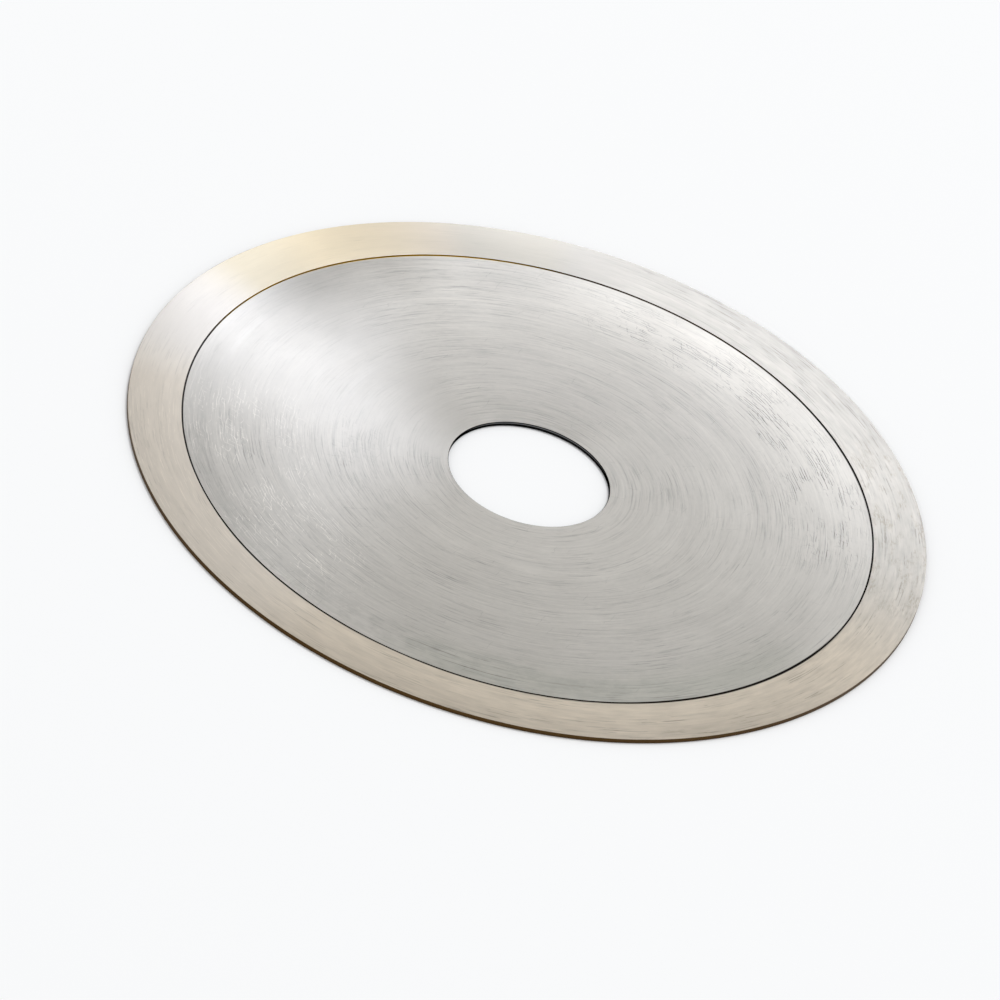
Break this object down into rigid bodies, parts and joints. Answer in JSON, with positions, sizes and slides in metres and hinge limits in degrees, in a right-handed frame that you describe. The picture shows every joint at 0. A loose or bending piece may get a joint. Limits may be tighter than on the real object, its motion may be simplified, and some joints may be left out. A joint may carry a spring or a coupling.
{
  "type": "electroplated diamond blade",
  "caption": "Thin flat steel cutting disc with a central arbor bore and a smooth continuous rim, plated with nickel-bonded diamond grit over both faces and the edge.",
  "frame": {"origin": "centre of the bore at mid-thickness of the disc", "axes": "+Z along the bore's axis, square to the faces; X and Y lie in the disc's mid-plane and have no preferred direction, because the disc is round"},
  "size_m": [0.11, 0.11, 0.0006],
  "materials": {
    "brushed_blank": "circular brushed, with fine turning marks and light handling scratches",
    "diamond_plating": "satin nickel with a warm champagne tint, fine and slightly gritty"
  },
  "bodies": {
    "root": {"steel_core": "brushed_blank", "diamond_rim": "diamond_plating"}
  },
  "joints": []
}
